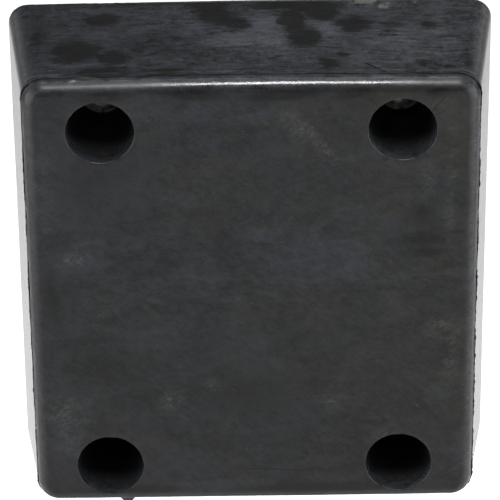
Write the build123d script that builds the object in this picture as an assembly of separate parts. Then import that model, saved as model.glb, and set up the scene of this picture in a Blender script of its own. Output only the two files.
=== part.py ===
from build123d import *
import os

# Moulded rubber wall bumper. One drafted rubber block has four deep, tapered fixing pockets near its
# corners. At the floor of each pocket a steel washer is moulded in, for the bolt's head to seat on, and a
# steel sleeve behind the washer carries the bolt's clamping force through the rubber to the wall.
#
# Frame, in mm: the wall is the plane Y = 0 and the origin is the centre of the bumper's back face. The
# bumper stands out from the wall towards -Y, +X is to the right of someone facing it, and +Z is up.

# The block
back_width = 250.0  # X, at the wall
back_height = 270.0  # Z, at the wall
depth = 73.0  # wall to front face
draft = 7.5  # degrees, each of the four sides leans in towards the front
corner_radius = 9.0  # of the four slanting corner edges
front_edge_radius = 6.5  # round the front face
back_edge_radius = 0.8  # round the back face

# The fixing pockets
pocket_spacing_x = 153.0
pocket_spacing_z = 201.0
pocket_drop = 2.5  # the pattern's centre lies this far below the block's
pocket_depth = 42.0
pocket_mouth_diameter = 35.0
pocket_floor_diameter = 22.0
pocket_rim_radius = 0.8

# The steel in each pocket, for an M12 bolt
bolt_hole_diameter = 14.0
washer_diameter = 37.0
washer_thickness = 3.0
sleeve_diameter = 20.0

# Places that follow from those
front_y = -depth
floor_y = front_y + pocket_depth
washer_back_y = floor_y + washer_thickness
places = {
    "upper_left": (-pocket_spacing_x / 2, pocket_spacing_z / 2 - pocket_drop),
    "upper_right": (pocket_spacing_x / 2, pocket_spacing_z / 2 - pocket_drop),
    "lower_left": (-pocket_spacing_x / 2, -pocket_spacing_z / 2 - pocket_drop),
    "lower_right": (pocket_spacing_x / 2, -pocket_spacing_z / 2 - pocket_drop),
}


def outwards(y):
    """A sketch plane across the bumper at that Y, whose normal points away from the wall."""
    return Plane(origin=(0, y, 0), x_dir=(1, 0, 0), z_dir=(0, -1, 0))


def barrel(x, z, start_y, end_y, diameter):
    """A plain cylinder along Y, from start_y out to end_y, which is further from the wall."""
    return extrude(outwards(start_y) * Pos(x, z) * Circle(diameter / 2), start_y - end_y)


def block_outside():
    """The block before its pockets: a tapered slab with rounded corners and edges."""
    slab = extrude(outwards(0) * Rectangle(back_width, back_height), depth, taper=draft)
    corners = [e for e in slab.edges() if abs(e.center().Y - front_y / 2) < 1]
    slab = fillet(corners, corner_radius)
    front_edges = slab.faces().sort_by(Axis.Y)[0].edges()
    slab = fillet(front_edges, front_edge_radius)
    back_edges = slab.faces().sort_by(Axis.Y)[-1].edges()
    return fillet(back_edges, back_edge_radius)


def pocket(x, z):
    """The tapered space from a pocket's floor out to the front face, with its rounded rim."""
    mouth = outwards(front_y) * Pos(x, z) * Circle(pocket_mouth_diameter / 2)
    floor = outwards(floor_y) * Pos(x, z) * Circle(pocket_floor_diameter / 2)
    return loft([floor, mouth])


def rubber_block():
    """The whole moulding, with room for the steel that is bonded into it."""
    block = block_outside()
    for x, z in places.values():
        block -= pocket(x, z)
    rims = [
        e
        for e in block.edges().filter_by(GeomType.CIRCLE)
        if abs(e.center().Y - front_y) < 0.01 and abs(e.radius - pocket_mouth_diameter / 2) < 0.01
    ]
    block = fillet(rims, pocket_rim_radius)
    for x, z in places.values():
        block -= barrel(x, z, washer_back_y, floor_y, washer_diameter)
        block -= barrel(x, z, 0, washer_back_y, sleeve_diameter)
    return block


def seat_washer(x, z):
    """The steel washer at a pocket's floor, held all round its edge by the rubber."""
    disc = barrel(x, z, washer_back_y, floor_y, washer_diameter)
    return disc - barrel(x, z, washer_back_y, floor_y, bolt_hole_diameter)


def bolt_sleeve(x, z):
    """The steel tube between the washer and the wall."""
    tube = barrel(x, z, 0, washer_back_y, sleeve_diameter)
    return tube - barrel(x, z, 0, washer_back_y, bolt_hole_diameter)


def save(name, shape):
    export_step(shape, f"parts/{name}.step")
    print(f"{name}: {shape.volume / 1000:.1f} cm3")


os.makedirs("parts", exist_ok=True)
save("rubber_block", rubber_block())
for corner, (x, z) in places.items():
    save(f"seat_washer_{corner}", seat_washer(x, z))
    save(f"bolt_sleeve_{corner}", bolt_sleeve(x, z))
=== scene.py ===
import bpy
import bmesh
import math
import numpy as np
from mathutils import Matrix, Vector
from mathutils.geometry import delaunay_2d_cdt


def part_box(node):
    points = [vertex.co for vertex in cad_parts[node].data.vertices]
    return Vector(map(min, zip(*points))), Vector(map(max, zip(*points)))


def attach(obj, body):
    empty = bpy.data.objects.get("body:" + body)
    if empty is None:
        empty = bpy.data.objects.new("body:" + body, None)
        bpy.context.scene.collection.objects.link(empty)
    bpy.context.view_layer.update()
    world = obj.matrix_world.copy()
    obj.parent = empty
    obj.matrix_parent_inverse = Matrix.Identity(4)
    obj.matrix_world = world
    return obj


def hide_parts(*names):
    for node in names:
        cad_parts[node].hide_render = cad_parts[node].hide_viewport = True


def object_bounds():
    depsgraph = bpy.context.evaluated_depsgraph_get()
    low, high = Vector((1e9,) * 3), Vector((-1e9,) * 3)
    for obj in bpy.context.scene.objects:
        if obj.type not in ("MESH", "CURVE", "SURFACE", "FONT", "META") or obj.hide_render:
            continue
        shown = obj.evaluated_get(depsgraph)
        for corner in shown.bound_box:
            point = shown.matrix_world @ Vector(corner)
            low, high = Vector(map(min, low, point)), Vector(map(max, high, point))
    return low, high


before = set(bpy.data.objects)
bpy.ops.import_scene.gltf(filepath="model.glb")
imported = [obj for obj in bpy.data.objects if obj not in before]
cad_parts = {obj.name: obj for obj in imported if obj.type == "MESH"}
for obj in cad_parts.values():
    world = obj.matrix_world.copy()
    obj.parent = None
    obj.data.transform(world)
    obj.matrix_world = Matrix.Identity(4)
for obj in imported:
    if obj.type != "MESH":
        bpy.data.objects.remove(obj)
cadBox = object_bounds()
print("frame loaded")

mm = 0.001
places = ("upper_left", "upper_right", "lower_left", "lower_right")


# Node helpers, for materials and geometry trees alike

class Wire:
    # an output socket that can stand in a sum
    def __init__(self, maker, socket):
        self.maker = maker
        self.socket = socket

    def sum(self, operation, first, second):
        return self.maker.make("ShaderNodeMath", {"operation": operation}, (first, second))

    def __add__(self, other):
        return self.sum("ADD", self, other)

    def __sub__(self, other):
        return self.sum("SUBTRACT", self, other)

    def __rsub__(self, other):
        return self.sum("SUBTRACT", other, self)

    def __mul__(self, other):
        return self.sum("MULTIPLY", self, other)

    __radd__ = __add__
    __rmul__ = __mul__


class Maker:
    # adds nodes to one tree
    def __init__(self, tree):
        self.tree = tree

    def make(self, kind, settings=None, inputs=(), output=0):
        node = self.tree.nodes.new(kind)
        for name, value in (settings or {}).items():
            setattr(node, name, value)
        pairs = inputs.items() if isinstance(inputs, dict) else enumerate(inputs)
        for key, value in pairs:
            if isinstance(value, Wire):
                self.tree.links.new(value.socket, node.inputs[key])
            elif value is not None:
                node.inputs[key].default_value = value
        return Wire(self, node.outputs[output] if node.outputs else None)

    def smooth(self, value, low, high, outLow=0.0, outHigh=1.0):
        settings = {"interpolation_type": "SMOOTHSTEP"}
        return self.make("ShaderNodeMapRange", settings, (value, low, high, outLow, outHigh))

    def apart(self, vector):
        node = self.make("ShaderNodeSeparateXYZ", {}, (vector,)).socket.node
        return [Wire(self, socket) for socket in node.outputs]

    def larger(self, first, second):
        return self.make("ShaderNodeMath", {"operation": "MAXIMUM"}, (first, second))

    def vector(self, operation, first, second=None, scale=None):
        output = 1 if operation == "LENGTH" else 0
        inputs = {0: first, 1: second, 3: scale}
        return self.make("ShaderNodeVectorMath", {"operation": operation}, inputs, output)


class Finish(Maker):
    # a new material, with patterns in object coordinates
    def __init__(self, name):
        self.material = bpy.data.materials.new(name)
        self.material.use_nodes = True
        super().__init__(self.material.node_tree)
        self.tree.nodes.clear()
        self.here = self.make("ShaderNodeTexCoord", {}, (), "Object")

    def noise(self, size, stretch=(1, 1, 1), turn=(0, 0, 0), shift=(0, 0, 0),
              detail=4, rough=0.5, swirl=0.0):
        # size in metres; stretch draws the pattern out along an axis, after the turn
        turned = self.make("ShaderNodeVectorRotate", {"rotation_type": "EULER_XYZ"},
                           {"Vector": self.here, "Rotation": turn})
        scale = tuple(1 / s for s in stretch)
        drawn = self.make("ShaderNodeMapping", {}, (turned, shift, (0, 0, 0), scale))
        inputs = {"Vector": drawn, "Scale": 1 / size, "Detail": detail, "Roughness": rough,
                  "Distortion": swirl}
        return self.make("ShaderNodeTexNoise", {}, inputs)

    def tint(self, share, first, second):
        # a colour is a wire, or three numbers
        first, second = (value if isinstance(value, Wire) else (*value, 1) for value in (first, second))
        return self.make("ShaderNodeMix", {"data_type": "RGBA"}, {0: share, 6: first, 7: second}, 2)

    def bump(self, height, distance):
        return self.make("ShaderNodeBump", {}, {"Height": height, "Distance": distance, "Strength": 1.0})

    def wandering(self, size, reach):
        # object coordinates pushed about, so that a line drawn in them is uneven
        inputs = {"Vector": self.here, "Scale": 1 / size, "Detail": 4, "Roughness": 0.6}
        push = self.make("ShaderNodeTexNoise", {}, inputs, "Color")
        centred = self.vector("SUBTRACT", push, (0.5, 0.5, 0.5))
        return self.vector("ADD", self.here, self.vector("SCALE", centred, None, 2 * reach))

    def strokes(self, where, marks):
        # 1 on thin strokes, each given by its place, half sizes and turn; 10 m reaches right through
        found = 0.0
        for place, size, turn in marks:
            place, size = [v * mm for v in place], [v * mm for v in size]
            inputs = (where, place, [math.radians(a) for a in turn], size)
            drawn = self.make("ShaderNodeMapping", {"vector_type": "TEXTURE"}, inputs)
            found = self.larger(found, self.smooth(self.vector("LENGTH", drawn), 1.5, 0.5))
        return found

    def stored(self, name):
        return self.make("ShaderNodeAttribute", {"attribute_name": name}, (), "Fac")

    def finished(self, shader):
        self.make("ShaderNodeOutputMaterial", {}, {"Surface": shader})
        return self.material


# Mesh helper: loops of points, bands between them and flat caps inside them

class Skin:
    def __init__(self):
        self.points = []
        self.faces = []
        self.share = []  # how far the moulding's unevenness shows at a point, 0 to 1
        self.ragged = []  # how far the torn edges' fine raggedness shows, 0 to 1
        self.lip = []  # how far the ridge at the parting line lifts a point, in metres

    def loop(self, across, y, share=1.0, ragged=0.0, lip=0.0):
        start = len(self.points)
        self.points += [(x, y, z) for x, z in across]
        self.share += [share] * len(across)
        self.ragged += [ragged] * len(across)
        self.lip += [lip] * len(across)
        return range(start, len(self.points))

    def band(self, outer, inner):
        count = len(outer)
        for i in range(count):
            j = (i + 1) % count
            self.faces.append((outer[i], outer[j], inner[j], inner[i]))

    def bands(self, loops):
        for outer, inner in zip(loops, loops[1:]):
            self.band(outer, inner)

    def cap(self, outer, holes, filling, y, share=1.0):
        # triangles inside a loop, through the filling's points and round the holes
        used = [*outer, *(i for hole in holes for i in hole), *self.loop(filling, y, share)]
        edges, start = [], 0
        for size in [len(outer)] + [len(hole) for hole in holes]:
            edges += [(start + i, start + (i + 1) % size) for i in range(size)]
            start += size
        flat = [Vector((self.points[i][0], self.points[i][2])) for i in used]
        discs = [discOf([flat[used.index(i)] for i in hole]) for hole in holes]
        made = delaunay_2d_cdt(flat, edges, [], 0, 1e-7)
        for triangle in made[2]:
            ids = [made[3][i][0] for i in triangle]
            middle = np.mean([flat[i] for i in ids], 0)
            if all(np.hypot(*(middle - centre)) > radius for centre, radius in discs):
                self.faces.append(tuple(used[i] for i in ids))


def discOf(ring):
    # centre and radius of a round loop
    ring = np.array(ring)
    return ring.mean(0), np.hypot(*(ring[0] - ring.mean(0)))


def clearOf(points, discs, clear):
    points = np.array(points)
    kept = np.ones(len(points), bool)
    for centre, radius in discs:
        kept &= np.hypot(*(points - centre).T) > radius + clear
    return points[kept]


def lattice(halfX, halfZ, spacing):
    # evenly spaced points in staggered rows, inside a rectangle
    rows = round(2 * halfZ / (spacing * math.sqrt(0.75)))
    columns = round(2 * halfX / spacing)
    found = []
    for k, z in enumerate(np.linspace(-halfZ, halfZ, rows + 1)):
        shift = (k % 2) * halfX / columns
        found += [(x + shift, z) for x in np.linspace(-halfX, halfX, columns + 1) if x + shift <= halfX]
    return found


def meshPiece(name, points, faces, material):
    mesh = bpy.data.meshes.new(name)
    mesh.from_pydata([tuple(p) for p in points], [], faces)
    turned = bmesh.new()
    turned.from_mesh(mesh)
    bmesh.ops.recalc_face_normals(turned, faces=turned.faces)
    turned.to_mesh(mesh)
    turned.free()
    mesh.polygons.foreach_set("use_smooth", [True] * len(mesh.polygons))
    mesh.materials.append(material)
    piece = bpy.data.objects.new(name, mesh)
    bpy.context.scene.collection.objects.link(piece)
    return piece


# Geometry trees

def startTree(name, sockets):
    # a tree with a geometry in, a geometry out and these inputs: name, kind, value
    tree = bpy.data.node_groups.new(name, "GeometryNodeTree")
    tree.interface.new_socket("Geometry", in_out="INPUT", socket_type="NodeSocketGeometry")
    tree.interface.new_socket("Geometry", in_out="OUTPUT", socket_type="NodeSocketGeometry")
    for label, kind, _ in sockets:
        tree.interface.new_socket(label, in_out="INPUT", socket_type="NodeSocket" + kind)
    maker = Maker(tree)
    group = maker.make("NodeGroupInput").socket.node
    return maker, {socket.name: Wire(maker, socket) for socket in group.outputs if socket.name}


def endTree(maker, geometry, material):
    real = maker.make("GeometryNodeRealizeInstances", {}, {"Geometry": geometry})
    shown = maker.make("GeometryNodeSetMaterial", {}, {"Geometry": real, "Material": material})
    maker.make("NodeGroupOutput", {}, (shown,))


def grown(piece, maker, sockets):
    # runs the tree on the piece and leaves a plain mesh
    modifier = piece.modifiers.new("grow", "NODES")
    modifier.node_group = maker.tree
    ids = {item.name: item.identifier for item in maker.tree.interface.items_tree if item.in_out == "INPUT"}
    for label, _, value in sockets:
        modifier[ids[label]] = value
    bpy.context.view_layer.update()
    graph = bpy.context.evaluated_depsgraph_get()
    mesh = bpy.data.meshes.new_from_object(piece.evaluated_get(graph), depsgraph=graph)
    piece.modifiers.remove(modifier)
    piece.data = mesh
    return piece


# The rubber block

backLow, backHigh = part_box("rubber_block")
bumper = {
    "draft": math.radians(7.9),
    "frontCorner": 11.0 * mm,  # of the outline, where the sides meet the front rounding
    "backCorner": 10.5 * mm,
    "frontEdge": 6.5 * mm,  # rounding round the front face
    "roundingAngles": (0, 6, 12, 18, 25, 32, 40, 48, 55, 61, 66, 70, 73, 76, 79),
    "capLoops": 6,  # of those, the ones next to the flat face, which the pockets' rims reach into
    "crown": 1.0 * mm,  # the face falls away that much towards its left and right edges
    "crownReach": 9.5 * mm,
    "crownDepth": 30 * mm,  # and that much of the block behind it goes with it
    "backEdge": 0.8 * mm,
    "around": 1.35 * mm,  # spacing of points round the outline
    "cornerPoints": 15,
    "faceSpacing": 1.85 * mm,
    "backSpacing": 7.0 * mm,
    "backInset": 4.0 * mm,
    "evenFrom": 8.0 * mm,  # behind the parting line, from where the sides' loops are evenly spaced
    "evenLoops": 32,
    "bowTop": 1.25 * mm,
    "bowBottom": 0.6 * mm,
    "fallBottom": 1.5 * mm,
    "leftDrop": 0.6 * mm,  # both edges are that much lower at their left end
}
parting = {
    "ridge": 0.32 * mm,
    "ridgeAhead": 0.6 * mm,
    "ridgeWidth": 0.8 * mm,
    "secondRidge": 0.2 * mm,
    "secondBehind": 4.6 * mm,
    "secondWidth": 0.55 * mm,
    "stubAt": -68 * mm,  # the torn stub of the gate, under the front edge
    "stubHalf": 3.4 * mm,
    "stubHeight": 2.6 * mm,
    "foldFrom": -94 * mm,  # a fold of rubber lies along the top edge there
    "foldTo": -73 * mm,
    "foldHeight": 0.6 * mm,
    "foldWidth": 0.9 * mm,
}
pocket = {
    "mouth": 17.5 * mm,
    "floor": 11.0 * mm,
    "rim": 0.5 * mm,
    "points": 96,
    "wallLoops": 16,
    "rimClear": 0.9 * mm,  # points inside the face keep that far from the rims
    "edgeClear": 0.6 * mm,  # and those of the front rounding that far
    "backClear": -7.0 * mm,  # the holes in the back are that much smaller
    "gap": 0.03 * mm,  # the rubber stands this clear of the steel bonded into it
}
frontY = backLow.y
slope = math.tan(bumper["draft"])
partingY = frontY + bumper["frontEdge"] * (1 - math.sin(bumper["draft"]))


def outline(halfX, halfZ, radius):
    # a rounded rectangle, anticlockwise from the front, with the same number of points whatever its size
    alongX = round(2 * backHigh.x / bumper["around"])
    alongZ = round(2 * backHigh.z / bumper["around"])
    found = []
    for k, (sideX, sideZ) in enumerate(((1, 1), (-1, 1), (-1, -1), (1, -1))):
        centre = np.array((sideX * (halfX - radius), sideZ * (halfZ - radius)))
        for angle in np.radians(90 * k + np.linspace(0, 90, bumper["cornerPoints"])):
            found.append(centre + radius * np.array((math.cos(angle), math.sin(angle))))
        turn = math.radians(90 * k + 90)
        run = 2 * ((halfX if k % 2 == 0 else halfZ) - radius)
        heading = np.array((-math.sin(turn), math.cos(turn)))
        inside = np.linspace(0, run, (alongX if k % 2 == 0 else alongZ) + 2)[1:-1]
        last = found[-1]
        found += [last + heading * distance for distance in inside]
    return found


def sideAt(y, out=0.0):
    # half sizes of the drafted sides at that y, and the radius of the outline's corners there
    share = y / frontY
    radius = bumper["backCorner"] + share * (bumper["frontCorner"] - bumper["backCorner"])
    return backHigh.x + y * slope + out, backHigh.z + y * slope + out, radius


def frontOutline(out):
    # the outline of the front rounding, that far out from the flat face's edge
    radius, draft = bumper["frontEdge"], bumper["draft"]
    halfX, halfZ, _ = sideAt(frontY + radius, -radius / math.cos(draft))
    corner = bumper["frontCorner"] - radius * math.cos(draft)
    return halfX + out, halfZ + out, corner + out


def lift(out):
    # how far back the front rounding lies, that far out from the flat face's edge
    radius = bumper["frontEdge"]
    return radius - np.sqrt(radius ** 2 - np.clip(out, 0, radius) ** 2)


def liftAt(x, z):
    halfX, halfZ, corner = frontOutline(0)
    beyond = np.hypot(np.maximum(abs(x) - halfX + corner, 0), np.maximum(abs(z) - halfZ + corner, 0))
    return lift(beyond - corner) + crownAt(x)


def crownAt(x):
    near = np.clip(1 - (backHigh.x + frontY * slope - abs(x)) / bumper["crownReach"], 0, 1)
    return bumper["crown"] * near ** 2


def roundingOutlines():
    # the front rounding's outlines, from the flat face out to the sides, each with its place in y
    found = []
    for angle in np.radians(bumper["roundingAngles"]):
        out = bumper["frontEdge"] * math.sin(angle)
        ridge = ridgeAt(bumper["frontEdge"] * (angle + bumper["draft"] - math.pi / 2))
        found.append((outline(*frontOutline(out)), frontY + lift(out), ridge))
    return found


def ridgeAt(behind):
    # the ridge that the mould's joint leaves, and a fainter one behind it
    height = parting["ridge"] * math.exp(-((behind + parting["ridgeAhead"]) / parting["ridgeWidth"]) ** 2)
    second = (behind - parting["secondBehind"]) / parting["secondWidth"]
    return height + parting["secondRidge"] * math.exp(-second ** 2)


def sideLoops(skin):
    # from the parting line along the drafted sides to the small rounding at the wall
    edge = bumper["backEdge"]
    near = np.array((0, 0.4, 0.8, 1.2, 1.6, 2.0, 2.5, 3.0, 3.5, 3.9, 4.3, 4.6, 4.9, 5.3, 5.9, 6.7)) * mm
    ends = np.linspace(partingY + bumper["evenFrom"], -edge, bumper["evenLoops"])
    loops = [skin.loop(outline(*sideAt(partingY + s)), partingY + s, 1, 0.4, ridgeAt(s)) for s in near]
    loops += [skin.loop(outline(*sideAt(y)), y) for y in ends]
    for angle in np.radians((30, 60, 90)):
        y = -edge + edge * math.sin(angle)
        loops.append(skin.loop(outline(*sideAt(y, -edge * (1 - math.cos(angle)))), y, 0.5, 1.0))
    return loops


def pocketLoops(skin, name):
    # from the rim on the face down the tapered wall, round the steel and out at the back
    low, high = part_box("seat_washer_" + name)
    sleeveLow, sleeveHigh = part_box("bolt_sleeve_" + name)
    centre = np.array(((low.x + high.x) / 2, (low.z + high.z) / 2))
    turns = np.linspace(0, 2 * math.pi, pocket["points"], endpoint=False)
    circle = np.stack((np.cos(turns), np.sin(turns)), 1)
    gap, rim = pocket["gap"], pocket["rim"]
    floorY = low.y - gap
    taper = math.atan((pocket["mouth"] - pocket["floor"]) / (floorY - frontY))
    rimRadius = pocket["mouth"] - rim * math.tan(taper) + rim / math.cos(taper)
    profile = []
    for angle in np.linspace(0, math.pi / 2 - taper, 5):
        profile.append((rimRadius - rim * math.sin(angle), frontY + rim * (1 - math.cos(angle)), 1.0))
    startRadius, startY, _ = profile[-1]
    for k in range(1, pocket["wallLoops"] + 1):
        down = k / pocket["wallLoops"]
        profile.append((startRadius + (pocket["floor"] - startRadius) * down,
                        startY + (floorY - startY) * down, 1 - down))
    washerRadius = (high.x - low.x) / 2 + gap
    sleeveRadius = (sleeveHigh.x - sleeveLow.x) / 2 + gap
    profile += [(washerRadius, floorY, 0), (washerRadius, high.y + gap, 0)]
    profile += [(sleeveRadius, high.y + gap, 0), (sleeveRadius, 0, 0)]
    loops = []
    for k, (radius, y, share) in enumerate(profile):
        loops.append(skin.loop(centre + circle * radius, y, share, 0.7 if 0 < k < 5 else 0))
    return loops, centre


def settled(points, share, flat):
    # the face falls away at its edges; the top edge bows up and the bottom edge down, as hot rubber shrinks
    x, y, z = points.T
    nearFront = np.clip(1 - (y - frontY) / bumper["crownDepth"], 0, 1) ** 2
    y += nearFront * np.where(flat, liftAt(x, z), crownAt(x))
    x, z = x / backHigh.x, z / backHigh.z
    near = np.clip((abs(z) - 0.5) / 0.45, 0, 1) ** 2
    bow = 0.6 - x ** 2
    drop = bumper["leftDrop"] * np.clip(-x, 0, 1)
    over = bumper["bowTop"] * bow - drop
    under = -bumper["bowBottom"] * bow - bumper["fallBottom"] - drop
    points[:, 2] += near * share * np.where(z > 0, over, under)
    return points


def within(value, low, high, soft):
    # 1 between the two, 0 outside them, over a soft edge
    return np.clip((value - low) / soft, 0, 1) * np.clip((high - value) / soft, 0, 1)


def foldOf(points):
    # the gate's stub under the front edge, and the fold of rubber on the top one
    x, y, z = points.T
    behind = y - partingY
    at, half = parting["stubAt"], parting["stubHalf"]
    stub = within(x, at - half, at + half, 0.9 * mm) * within(behind, -2.0 * mm, 2.6 * mm, 1.1 * mm)
    stub = stub * (z < -0.9 * backHigh.z) * parting["stubHeight"]
    start, end = parting["foldFrom"], parting["foldTo"]
    along = np.clip((x - start) / (end - start), 0, 1)
    arched = (3.4 * np.sin(math.pi * (0.05 + 0.8 * along)) - 2.2) * mm
    fold = within(x, start, end, 5 * mm) * np.exp(-((behind - arched) / parting["foldWidth"]) ** 2)
    return stub + fold * (z > 0.8 * backHigh.z) * parting["foldHeight"]


def outwardOf(points):
    # the way out of the block, square to its sides
    x, z = points[:, 0], points[:, 2]
    corner = bumper["frontCorner"]
    halfX, halfZ, _ = sideAt(partingY)
    out = np.stack((np.maximum(abs(x) - halfX + corner, 0) * np.sign(x), np.zeros(len(x)),
                    np.maximum(abs(z) - halfZ + corner, 0) * np.sign(z)), 1)
    return out / np.maximum(np.linalg.norm(out, axis=1), 1e-6)[:, None]


# Each mark's place in mm, half sizes, turn in degrees and strength. The place is x and y for stains, wiped
# patches and crusts, which are on the top side, and x and z for the others, which are on the front.
marks = {
    "stain": [
        (-17, -13, 10, 9, -15, 0.95), (-6, -21, 7, 5.5, -25, 0.95), (-22, -4, 13, 4, 0, 0.85),
        (24, -5, 24, 6, 0, 0.95), (21, -20, 6.5, 12, 12, 0.95), (27, -34, 8, 8, 20, 0.95),
        (37, -13, 8, 5.5, -12, 0.95), (40, -56, 9, 8, 0, 0.6), (53, -22, 9.5, 7, 5, 0.85),
        (91, -23, 5.5, 4.5, 0, 0.75), (72, -23, 12, 4, -3, 0.5), (-76, -16, 9, 6, 8, 0.85),
        (-89, -43, 12, 8.5, -4, 1.0), (-70, -48, 9, 6, 0, 0.85), (-74, -61, 13, 4.5, 0, 0.95),
        (-48, -40, 28, 15, 0, 0.5), (-45, -62, 20, 5, 0, 0.6), (46, -49, 4, 3, 0, 0.65),
        (110, -54, 4, 9, 10, 0.65), (-10, -1, 110, 3, 0, 0.7), (-109, -30, 8, 28, 0, 0.55),
        (87, -57, 3.5, 3, 0, 0.65), (-100, -20, 12, 5, 10, 0.5), (30, -62, 60, 4, 0, 0.5),
    ],
    "wiped": [
        (-98, -46, 6, 1.3, -6, 1.0), (-86, -55, 13, 1.3, 8, 1.0), (-80, -9, 16, 4, -10, 0.6),
        (-60, -27, 10, 5, 30, 0.6),
        (9, -27, 15, 14, 0, 1.0), (-8, -35, 16, 5.5, 4, 0.95), (-30, -24, 14, 10, 0, 0.65),
        (40, -27, 7, 7, 0, 0.8), (80, -37, 40, 24, 0, 0.48),
    ],
    "crust": [
        (60, -2.5, 7, 2.2, 8, 1.0), (68, -6.5, 5, 2.4, 20, 0.9), (84, -3, 4, 1.3, 0, 0.7),
        (-96, -5, 12, 1.6, 4, 0.6),
    ],
    # darker patches on the face, and the long thin strokes at z 118 to 119.5 and at z -119, which are
    # painted shade along the face's top and bottom edges where the roundings begin
    "darkAndEdgeShade": [
        (-74, 118, 14, 3.4, 3, 1.0), (-30, 119, 19, 3.2, -3, 0.9), (16, 118.5, 22, 3, 3, 1.0),
        (52, 119, 12, 3.2, 6, 0.95), (94, 119.5, 8, 3.2, 8, 0.95), (86, 34, 19, 5, 2, 0.9),
        (88, 26, 14, 3.6, 3, 0.9), (86, 50, 11, 9, 30, 0.7), (-104, 2, 6, 19, 8, 0.75),
        (-14, 36, 12, 13, 20, 0.6), (-78, 76, 36, 36, 0, 0.55), (0, -60, 30, 18, 0, 0.55),
        (30, -119, 46, 3.6, 1, 0.95), (-64, -119, 32, 3, 0, 0.95), (94, 96, 9, 6, -20, 0.6),
    ],
    "blue": [
        (12, 22, 120, 28, 2, 0.6), (-36, 55, 12, 11, -30, 0.8), (-20, -118, 28, 5, 0, 1.0),
        (110, -97, 5, 18, -8, 1.0), (-100, -88, 8, 15, 12, 0.85), (98, -60, 10, 4, 4, 1.0),
        (38, -114, 17, 5, -8, 0.8), (-20, 108, 50, 7, 0, 0.7),
    ],
    "dust": [
        (25, 99, 10, 5.5, -38, 1.0), (38, 86, 12, 3.6, -48, 0.8), (-44, -62, 9, 7, 0, 0.85),
        (-22, -54, 4, 4, 0, 0.9), (-99, -72, 11, 18, 20, 0.75), (104, -36, 5, 22, -8, 0.8),
        (40, -63, 7, 4, 0, 0.75), (-92, 25, 6, 5, 0, 0.9), (98, -18, 10, 7, 20, 0.7),
        (101, 60, 3.2, 58, -1, 0.72), (90, 70, 8, 13, 0, 0.6), (68, -84, 15, 8, 35, 0.65),
        (-106, 62, 7, 36, 0, 0.6),
    ],
}
topFrom = 100  # mm, the height from where a mark is on the top side


def fieldOf(points, name):
    # 1 in the middle of a mark, a half at its edge and 0 at twice its size
    onTop = name in ("stain", "wiped", "crust")
    x, y, z = (points / mm).T
    found = np.zeros(len(points))
    for atX, atOther, halfX, halfOther, turn, strength in marks[name]:
        dx, dy = x - atX, (y if onTop else z) - atOther
        c, s = math.cos(math.radians(turn)), math.sin(math.radians(turn))
        far = np.hypot((c * dx + s * dy) / halfX, (c * dy - s * dx) / halfOther)
        found = np.maximum(found, strength * np.clip(1 - far / 2, 0, 1))
    return found * (z > topFrom if onTop else y * mm < partingY)


def store(piece, name, values):
    values = np.array(values, np.float32)
    kind, field = ("FLOAT", "value") if values.ndim == 1 else ("FLOAT_VECTOR", "vector")
    piece.data.attributes.new(name, kind, "POINT").data.foreach_set(field, values.ravel())


def rubberBlock(material):
    skin = Skin()
    wells = [pocketLoops(skin, name) for name in places]
    for loops, _ in wells:
        skin.bands(loops)
    inPockets = len(skin.points)
    rounding = roundingOutlines()
    inside, outside = rounding[:bumper["capLoops"]], rounding[bumper["capLoops"]:]
    loops = [skin.loop(across, y, 1, 0, ridge) for across, y, ridge in outside] + sideLoops(skin)
    skin.bands(loops)
    rims = [(centre, pocket["mouth"] + pocket["rim"]) for _, centre in wells]
    reach = np.max(inside[0][0], 0) - bumper["faceSpacing"] / 2
    filling = clearOf(lattice(*reach, bumper["faceSpacing"]), rims, pocket["rimClear"])
    edging = clearOf([point for ring, _, _ in inside for point in ring], rims, pocket["edgeClear"])
    skin.cap(loops[0], [well[0] for well, _ in wells], [*filling, *edging], frontY)
    reach = np.array(sideAt(0)[:2]) - bumper["backInset"]
    filling = clearOf(lattice(*reach, bumper["backSpacing"]), rims, pocket["backClear"])
    skin.cap(loops[-1], [well[-1] for well, _ in wells], filling, 0.0, 0)
    share = np.array(skin.share)
    flat = np.ones(len(share), bool)
    flat[loops[0][0]:loops[-1][-1] + 1] = False
    points = settled(np.array(skin.points, float), share, flat)
    piece = meshPiece("rubber_block_moulded", points, skin.faces, material)
    store(piece, "unevenness", share)
    store(piece, "ragged", skin.ragged)
    store(piece, "lip", skin.lip)
    store(piece, "fold", foldOf(points))
    store(piece, "outward", outwardOf(points))
    for name in marks:
        store(piece, name, fieldOf(points, name))
    # bloom is 1 outside the pockets and fades to 0 down their walls; taking the bloom away there paints
    # shade deeper into the pockets
    store(piece, "bloom", np.where(np.arange(len(points)) < inPockets, share ** 6, 1))
    return piece


unevenness = [
    ("Wave height", "Float", 0.22 * mm),
    ("Wave size", "Float", 55 * mm),
    ("Dent height", "Float", 0.08 * mm),
    ("Dent size", "Float", 8 * mm),
    ("Rag height", "Float", 0.3 * mm),
    ("Rag size", "Float", 2.6 * mm),
    ("Lip break", "Float", 7 * mm),
    ("Seed", "Float", 3.0),
    ("Finish", "Material", None),
]


def noiseOf(maker, given, size, detail=1.0, output=0):
    scale = maker.make("ShaderNodeMath", {"operation": "DIVIDE"}, (1.0, given[size]))
    here = maker.make("GeometryNodeInputPosition")
    inputs = {"Vector": here, "W": given["Seed"], "Scale": scale, "Detail": detail}
    return maker.make("ShaderNodeTexNoise", {"noise_dimensions": "4D"}, inputs, output)


def named(maker, name, kind="FLOAT"):
    return maker.make("GeometryNodeInputNamedAttribute", {"data_type": kind}, {"Name": name})


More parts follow.
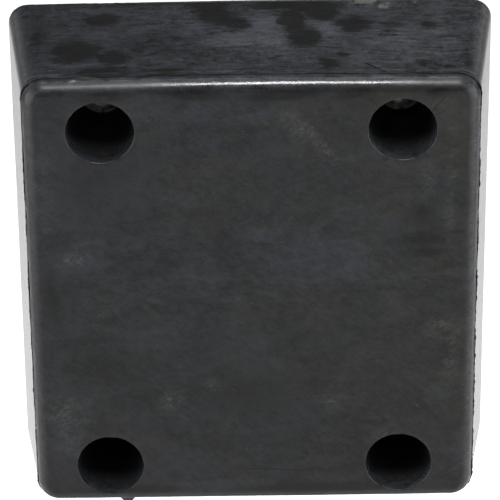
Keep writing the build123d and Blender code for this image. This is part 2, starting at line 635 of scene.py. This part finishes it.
def relief(maker, given):
    # how far the uneven skin of the moulding moves a point, as a vector
    waves = (noiseOf(maker, given, "Wave size") - 0.5) * 2.0 * given["Wave height"]
    dents = (noiseOf(maker, given, "Dent size", 3.0) - 0.5) * 2.0 * given["Dent height"]
    away = (waves + dents) * named(maker, "unevenness")
    return maker.vector("SCALE", maker.make("GeometryNodeInputNormal"), None, away)


def unevenTree():
    maker, given = startTree("mouldUnevenness", unevenness)
    rags = (noiseOf(maker, given, "Rag size", 3.0) - 0.5) * 2.0 * given["Rag height"]
    rags = maker.vector("SCALE", maker.make("GeometryNodeInputNormal"), None, rags * named(maker, "ragged"))
    broken = maker.smooth(noiseOf(maker, given, "Lip break", 4.0), 0.36, 0.62, 0.25, 1.25)
    lip = named(maker, "lip") * broken + named(maker, "fold")
    lip = maker.vector("SCALE", named(maker, "outward", "FLOAT_VECTOR"), None, lip)
    offset = maker.vector("ADD", maker.vector("ADD", relief(maker, given), rags), lip)
    moved = maker.make("GeometryNodeSetPosition", {}, {"Geometry": given["Geometry"], "Offset": offset})
    endTree(maker, moved, given["Finish"])
    return maker


# The torn flash along the parting line

flash = [
    ("Spacing", "Float", 0.55 * mm),
    ("Thickness", "Float", 0.66 * mm),
    ("Thinnest", "Float", 0.6),
    ("Thickest", "Float", 1.3),
    ("Wander", "Float", 0.35 * mm),
    ("Rag size", "Float", 1.9 * mm),
    ("Patch size", "Float", 16 * mm),
    ("Wave height", "Float", 0.22 * mm),
    ("Wave size", "Float", 55 * mm),
    ("Seed", "Float", 3.0),
    ("Finish", "Material", None),
]
flashAt = {
    "behind": 2.1 * mm,
    "out": 0.1 * mm,
    "nearer": 1.3 * mm,  # to the front, on the left and right sides
    "thinner": 0.35,  # its thickness above and below, against 1 on those sides
}


def flashTree():
    maker, given = startTree("tornFlash", flash)
    curve = maker.make("GeometryNodeMeshToCurve", {}, (given["Geometry"],))
    inputs = {"Curve": curve, "Length": given["Spacing"]}
    even = maker.make("GeometryNodeResampleCurve", {"mode": "LENGTH"}, inputs)
    outward = named(maker, "outward", "FLOAT_VECTOR")
    waves = (noiseOf(maker, given, "Wave size") - 0.5) * 2.0 * given["Wave height"]
    wander = maker.vector("SUBTRACT", noiseOf(maker, given, "Rag size", 2.0, "Color"), (0.5, 0.5, 0.5))
    wander = maker.vector("SCALE", wander, None, given["Wander"])
    offset = maker.vector("ADD", maker.vector("SCALE", outward, None, waves), wander)
    moved = maker.make("GeometryNodeSetPosition", {}, {"Geometry": even, "Offset": offset})
    rags = noiseOf(maker, given, "Rag size", 3.0)
    ragged = maker.smooth(rags, 0.42, 0.7, given["Thinnest"], given["Thickest"])
    patches = maker.smooth(noiseOf(maker, given, "Patch size", 2.0), 0.38, 0.6, 0.45, 1.0)
    across = maker.apart(outward)[0]
    radius = given["Thickness"] * ragged * patches
    radius = radius * (across * across * (1 - flashAt["thinner"]) + flashAt["thinner"])
    circle = {"Resolution": 6, "Radius": 1.0}
    profile = maker.make("GeometryNodeCurvePrimitiveCircle", {"mode": "RADIUS"}, circle)
    inputs = {"Curve": moved, "Profile Curve": profile, "Scale": radius}
    bead = maker.make("GeometryNodeCurveToMesh", {}, inputs)
    endTree(maker, bead, given["Finish"])
    return maker


def partingFlash(material):
    y = partingY + flashAt["behind"]
    ring = np.array([(x, y, z) for x, z in outline(*sideAt(y, flashAt["out"]))])
    ring[:, 1] -= flashAt["nearer"] * abs(outwardOf(ring)[:, 0])
    points = settled(ring, np.ones(len(ring)), np.zeros(len(ring), bool))
    mesh = bpy.data.meshes.new("parting_flash")
    mesh.from_pydata([tuple(p) for p in points], [(i, (i + 1) % len(ring)) for i in range(len(ring))], [])
    mesh.materials.append(material)
    piece = bpy.data.objects.new("parting_flash", mesh)
    bpy.context.scene.collection.objects.link(piece)
    store(piece, "outward", outwardOf(points))
    return piece


# Finishes

through = 10000  # mm, the half size of a stroke that runs right through the block
# creases on the face, drawn as darker lines: painted shade in the creases
creases = [
    ((93, 0, 111), (8, through, 0.4), (0, -52, 0)), ((82, 0, 102), (7, through, 0.35), (0, -30, 0)),
    ((92, 0, 106), (7, through, 0.35), (0, -25, 0)), ((104, 0, -111), (9, through, 0.45), (0, -24, 0)),
    ((103, 0, -108), (7, through, 0.4), (0, -38, 0)), ((10, 0, -107), (19, through, 0.4), (0, 3, 0)),
]
scratches = [
    ((62.5, -60, 0), (7, 0.7, through), (0, 0, -38)),
    ((-84, -62, 0), (9, 0.5, through), (0, 0, 5)),
]


def rubberFinish():
    f = Finish("mouldedRubber")
    nx, ny, nz = f.apart(f.make("ShaderNodeNewGeometry", {}, (), "Normal"))
    x, _, z = f.apart(f.here)
    front = f.smooth(0.0 - ny, 0.75, 0.97)
    # pocketLit is 1 outside the pockets and falls to 0 down their walls; there the bloom, dust and specks
    # fade out, which paints shade into the pockets, and the rubber gets rougher
    pocketLit = f.stored("bloom")
    cloud = f.noise(50 * mm, detail=6, rough=0.62, swirl=1.2)
    smear = f.noise(13 * mm, (2.2, 1, 1), (0, 0.12, 0), detail=7, rough=0.72, swirl=0.8)
    scuff = f.noise(3.2 * mm, (1.8, 1, 1), (0, -0.7, 0), detail=6, rough=0.78, swirl=0.3)
    grain = f.noise(0.9 * mm, detail=3, rough=0.6)
    drag = f.noise(1.3 * mm, (9, 1, 1), (0, 0, 0.02), detail=6, rough=0.68, swirl=0.4)
    wipe = f.noise(5 * mm, (4, 1, 1), (0, 0, -0.05), detail=7, rough=0.68, swirl=0.9)
    fray = f.noise(8 * mm, (1.9, 1, 1), (0, 0, 0.1), detail=6, rough=0.62, swirl=0.6)

    # the bloom on the front, in clouds and smears, with less of it in the darker patches and in the painted
    # shade along the face's top and bottom edges
    mottle = (cloud - 0.5) * 0.28 + (smear - 0.5) * 0.44 + (scuff - 0.5) * 0.5 + (grain - 0.5) * 0.26
    uneven = (smear - 0.5) * 0.9 + (scuff - 0.5) * 0.5
    darkAndEdgeShade = f.smooth(f.stored("darkAndEdgeShade") + uneven, 0.3, 0.8)
    blue = f.smooth(f.stored("blue") + uneven, 0.25, 0.85)
    # painted shade along the creases
    creaseShade = f.strokes(f.wandering(6 * mm, 1.2 * mm), creases)
    # the z term makes the face lighter towards the top and darker towards the bottom
    onFront = mottle + 0.135 + z * 0.45 - darkAndEdgeShade * 0.17 + blue * 0.13 - creaseShade * 0.2
    # the drag marks and stains on the sides
    held = f.stored("stain")
    edge = (fray - 0.5) * 1.5 + (wipe - 0.5) * 1.2 + (scuff - 0.5) * 0.5
    stain = f.smooth((held - 0.47) * 1.6 + edge, -0.1, 0.13)
    shade = f.smooth(held + (wipe - 0.5) * 1.1, 0.15, 0.65)
    wiped = f.smooth(f.stored("wiped") + (fray - 0.5) * 0.9 + (drag - 0.5) * 0.4, 0.25, 0.65)
    scratch = f.strokes(f.here, scratches)
    streaks = (wipe - 0.5) * 0.9 + (drag - 0.5) * 1.15 + (cloud - 0.5) * 0.5
    streaks = streaks + (scuff - 0.5) * 1.1 + (grain - 0.5) * 0.8
    onSides = (streaks + 0.32 + wiped * 0.29) * (1 - shade * 0.5) * (1 - stain * 0.76)
    # all but the face are darker towards the left end
    onSides = f.smooth(x, -0.11, 0.02, 0.6, 1.0) * onSides - scratch * 0.3
    amount = f.make("ShaderNodeMath", {"operation": "MULTIPLY", "use_clamp": True},
                    (onFront * front + onSides * (1 - front), pocketLit))
    patina = f.noise(38 * mm, shift=(4, 1, 7), detail=6, rough=0.65, swirl=1.0)
    olive = f.smooth(patina + x * 1.1 - blue * 0.25 + (scuff - 0.5) * 0.3, 0.36, 0.68)
    olive = olive * (front * 0.75 + 0.25)
    bloom = f.tint(olive, (0.037, 0.0395, 0.0495), (0.0405, 0.042, 0.0375))
    colour = f.tint(amount, (0.0022, 0.0023, 0.0021), bloom)
    dusty = f.smooth(f.stored("dust") + uneven, 0.22, 1.0)
    wisps = f.noise(2.2 * mm, (2.5, 1, 1), (0, 0.6, 0), detail=7, rough=0.78, swirl=1.5)
    dusty = dusty * f.smooth(wisps, 0.4, 0.75)
    colour = f.tint(dusty * front * pocketLit * 0.46, colour, (0.085, 0.092, 0.079))
    speck = f.smooth(f.noise(1.0 * mm, (1.7, 1, 1), detail=2), 0.69, 0.77) * f.smooth(patina, 0.42, 0.6)
    colour = f.tint(speck * pocketLit * 0.4, colour, (0.11, 0.115, 0.105))
    crust = f.smooth(f.stored("crust") + (scuff - 0.5) * 2.2 + (fray - 0.5) * 1.0, 0.44, 0.7)
    colour = f.tint(crust * 0.4, colour, (0.1, 0.096, 0.082))
    alongSide = f.smooth(nx * nx, 0.3, 0.7)
    rubbed = f.smooth((0 - ny) * nz, 0.22, 0.45)
    under = f.smooth(0 - nz, 0.15, 0.5)
    roughness = 0.3 + amount * 0.1 + (grain - 0.5) * 0.06 + (1 - pocketLit) * 0.12
    polished = f.smooth((x - 0.018) * (x - 0.018), 0.0012, 0.006, 0.11, -0.07)
    roughness = roughness - alongSide * 0.1 - rubbed * polished + under * 0.32
    # orange peel and drag lines
    peel = f.noise(3.4 * mm, detail=3, rough=0.55)
    lines = f.noise(1.6 * mm, (14, 1, 1), detail=3)
    shader = f.make("ShaderNodeBsdfPrincipled", {}, {
        "Base Color": colour, "Roughness": roughness, "Specular IOR Level": 0.19,
        "Normal": f.bump(peel * 0.06 + lines * 0.04 + scuff * 0.07, 1 * mm)})
    return f.finished(shader)


def tornFinish():
    f = Finish("tornRubber")
    tear = f.noise(1.4 * mm, detail=4, rough=0.7)
    colour = f.tint(tear, (0.002, 0.002, 0.002), (0.009, 0.009, 0.008))
    shader = f.make("ShaderNodeBsdfPrincipled", {}, {
        "Base Color": colour, "Roughness": 0.85, "Specular IOR Level": 0.06,
        "Normal": f.bump(f.noise(0.7 * mm), 0.15 * mm)})
    return f.finished(shader)


def steelFinish(name, colour, roughness):
    # worn steel with a film of black rubber over parts of it
    f = Finish(name)
    cloud = f.noise(6 * mm, detail=5, rough=0.65, swirl=0.6)
    film = f.smooth(cloud, 0.42, 0.6)
    scuff = f.smooth(f.noise(0.8 * mm, (1, 6, 1), detail=4), 0.5, 0.7)
    tone = f.tint(film, colour, (0.008, 0.008, 0.008))
    tone = f.tint(scuff * 0.4, tone, tuple(1.5 * c for c in colour))
    metal = 0.85 - film * 0.8
    shader = f.make("ShaderNodeBsdfPrincipled", {}, {
        "Base Color": tone, "Metallic": metal, "Roughness": roughness + film * 0.2,
        "Normal": f.bump(cloud, 0.1 * mm)})
    return f.finished(shader)


rubber = rubberFinish()
unevenness[-1] = ("Finish", "Material", rubber)
block = grown(rubberBlock(rubber), unevenTree(), unevenness)
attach(block, "root")
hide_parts("rubber_block")
print("block:", len(block.data.vertices), "points,", len(block.data.polygons), "faces")

torn = tornFinish()
flash[-1] = ("Finish", "Material", torn)
bead = grown(partingFlash(torn), flashTree(), flash)
bead.data.polygons.foreach_set("use_smooth", [True] * len(bead.data.polygons))
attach(bead, "root")
print("flash:", len(bead.data.polygons), "faces")

washerSteel = steelFinish("filmedWasherSteel", (0.27, 0.253, 0.23), 0.65)
sleeveSteel = steelFinish("cutTubeSteel", (0.4, 0.4, 0.4), 0.38)
for name in places:
    for part, steel in (("seat_washer_", washerSteel), ("bolt_sleeve_", sleeveSteel)):
        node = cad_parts[part + name]
        node.data.materials.clear()
        node.data.materials.append(steel)
print("steel finished")


# Floor, light and camera

studio = {
    "floorSize": 30.0,
    "floorDrop": 450 * mm,
    "world": 0.72,
    "dimBehind": 0.75,  # the dome is that much darker above and behind the bumper
    "dimFront": 0.55,  # and low down in front
    "far": 1.6,
    "core": {"power": 37.0, "size": (0.1, 0.4), "right": 0.035, "elevation": 65.0},
    "broad": {"power": 3.1, "size": (0.22, 0.4), "right": -0.04, "elevation": 65.0},
    "over": {"power": 6.0, "size": (1.0, 0.9), "right": 0.0, "elevation": 97.0},
    "strip": {"power": 15.0, "size": (1.2, 0.95), "across": 1.05, "ahead": 0.4, "high": 0.05},
    "wash": {"power": 7.0, "size": (1.6, 1.2), "behind": 1.0, "above": 0.8},  # lights the floor behind
}
floorZ = cadBox[0].z - studio["floorDrop"]


def paleFloor():
    f = Finish("paleFloor")
    shader = f.make("ShaderNodeBsdfPrincipled", {}, {"Base Color": (0.83, 0.83, 0.83, 1), "Roughness": 0.7})
    half = studio["floorSize"] / 2
    corners = [(-half, -half), (half, -half), (half, half), (-half, half)]
    square = [(x, y, floorZ) for x, y in corners]
    return meshPiece("floor", square, [(0, 1, 2, 3)], f.finished(shader))


def areaLight(name, power, size, target, direction, far):
    data = bpy.data.lights.new(name, "AREA")
    data.shape = "RECTANGLE"
    data.size, data.size_y = size
    data.energy = power
    light = bpy.data.objects.new(name, data)
    light.location = target + direction.normalized() * far
    light.rotation_mode = "QUATERNION"
    light.rotation_quaternion = direction.to_track_quat("Z", "Y")
    bpy.context.scene.collection.objects.link(light)
    return light


paleFloor()
world = bpy.data.worlds.new("studio")
world.use_nodes = True
dome = Maker(world.node_tree)
dome.tree.nodes.clear()
x, y, z = dome.apart(dome.make("ShaderNodeTexCoord", {}, (), "Generated"))
overBehind = dome.smooth(y, 0.1, 0.6) * dome.smooth(z, 0.25, 0.6)
lowInFront = dome.smooth(0 - y, 0.35, 0.75) * dome.smooth(z, 0.65, 0.35)
strength = studio["world"] * (1 - studio["dimBehind"] * overBehind - studio["dimFront"] * lowInFront)
light = dome.make("ShaderNodeBackground", {}, {"Color": (1, 1, 1, 1), "Strength": strength})
dome.make("ShaderNodeOutputWorld", {}, {"Surface": light})
bpy.context.scene.world = world
for name in ("core", "broad", "over"):
    box = studio[name]
    tall = math.radians(box["elevation"])
    areaLight(name, box["power"], box["size"], Vector((box["right"], frontY, backHigh.z)),
              Vector((0, -math.cos(tall), math.sin(tall))), studio["far"])
wash = studio["wash"]
areaLight("wash", wash["power"], wash["size"], Vector((0, wash["behind"], floorZ)),
          Vector((0, 0, 1)), wash["above"])
for side in (-1, 1):
    strip = studio["strip"]
    towards = Vector((side * strip["across"], -strip["ahead"], strip["high"]))
    areaLight("strip", strip["power"], strip["size"], Vector((0, frontY, 0)), towards, towards.length)

camera = {
    "lens": 266.8,
    "far": 1.903,
    "yaw": -0.113,
    "pitch": 30.65,
    "roll": 0.59,
    "lookAt": (-1.3 * mm, frontY, 28.6 * mm),
}


def placeCamera():
    data = bpy.data.cameras.new("camera")
    data.lens = camera["lens"]
    data.sensor_width = 36
    data.clip_end = 50
    yaw, pitch, roll = (math.radians(camera[k]) for k in ("yaw", "pitch", "roll"))
    turn = Matrix.Rotation(yaw, 3, "Z") @ Matrix.Rotation(-pitch, 3, "X")
    turn = turn @ Matrix.Rotation(roll, 3, "Y")
    right, ahead, up = turn.col
    placed = bpy.data.objects.new("camera", data)
    placed.rotation_mode = "QUATERNION"
    placed.rotation_quaternion = Matrix((right, up, -ahead)).transposed().to_quaternion()
    placed.location = Vector(camera["lookAt"]) - ahead * camera["far"]
    bpy.context.scene.collection.objects.link(placed)
    bpy.context.scene.camera = placed


placeCamera()
bpy.context.scene.view_settings.view_transform = "Standard"
print("stage set")
